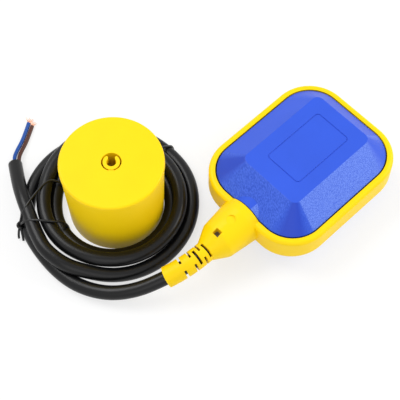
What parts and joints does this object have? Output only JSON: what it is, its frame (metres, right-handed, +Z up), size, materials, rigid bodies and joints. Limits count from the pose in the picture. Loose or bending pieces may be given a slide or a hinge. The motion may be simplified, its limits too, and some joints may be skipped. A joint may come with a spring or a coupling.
{
  "type": "cable float switch",
  "caption": "Buoyant level switch on a coiled cable, with a counterweight that slides on the cable.",
  "frame": {"origin": "middle of the flat face that the float rests on", "axes": "+X from the float's cable end to its nose, +Z up from the face it rests on"},
  "size_m": [0.1957, 0.1912, 0.054],
  "materials": {
    "yellow_plastic": "satin",
    "blue_plastic": "fine grain",
    "seal_rubber": "matte",
    "relief_plastic": "satin",
    "cable_sheath": "satin",
    "grey_plastic": "matte",
    "sealing_resin": "matte",
    "box_plastic": "matte",
    "rocker_plastic": "matte",
    "steel": "satin",
    "polished_steel": "polished",
    "switch_case": "matte",
    "plunger_plastic": "matte",
    "contact_brass": "bright",
    "iron": "as cast",
    "blue_insulation": "satin",
    "brown_insulation": "satin",
    "copper": "bright",
    "tie_wire": "matte"
  },
  "bodies": {
    "float_set": {"float_frame": "yellow_plastic", "weight_shell": "yellow_plastic", "weight_lid": "yellow_plastic", "upper_cover": "blue_plastic", "lower_cover": "blue_plastic", "upper_seal": "seal_rubber", "lower_seal": "seal_rubber", "strain_relief": "relief_plastic", "cable_root": "cable_sheath", "cable_lead": "cable_sheath", "cable_coil": "cable_sheath", "cable_tail": "cable_sheath", "cable_lock": "grey_plastic", "neck_potting": "sealing_resin", "switch_box": "box_plastic", "box_lid": "box_plastic", "rocker_pin": "steel", "switch_screws": "steel", "microswitch_case": "switch_case", "microswitch_cover": "switch_case", "snap_blade": "contact_brass", "common_terminal": "contact_brass", "open_terminal": "contact_brass", "closed_terminal": "contact_brass", "ballast_ring": "iron", "blue_conductor": "blue_insulation", "inner_blue_wire": "blue_insulation", "brown_conductor": "brown_insulation", "inner_brown_wire": "brown_insulation", "blue_strands": "copper", "brown_strands": "copper", "coil_tie": "tie_wire", "back_tie": "tie_wire"},
    "rocker": {"ball_rocker": "rocker_plastic"},
    "ball": {"steel_ball": "polished_steel"},
    "plunger": {"switch_plunger": "plunger_plastic"}
  },
  "joints": [
    {"name": "ball_roll", "type": "slide", "parent": "rocker", "child": "ball", "axis": [-1, 0, 0], "range_m": [0, 0.0175]},
    {"name": "rocker_tilt", "type": "hinge", "parent": "float_set", "child": "rocker", "pos_m": [0.01, 0, 0.011], "axis": [0, -1, 0], "range_deg": [0, 3]},
    {"name": "plunger_press", "type": "slide", "parent": "float_set", "child": "plunger", "axis": [0, 0, -1], "range_m": [0, 0.0013]}
  ],
  "couplings": [
    {"joint": "rocker_tilt", "follows": "ball_roll", "rad_per_m": 2.99},
    {"joint": "plunger_press", "follows": "ball_roll", "ratio": 0.0742}
  ]
}
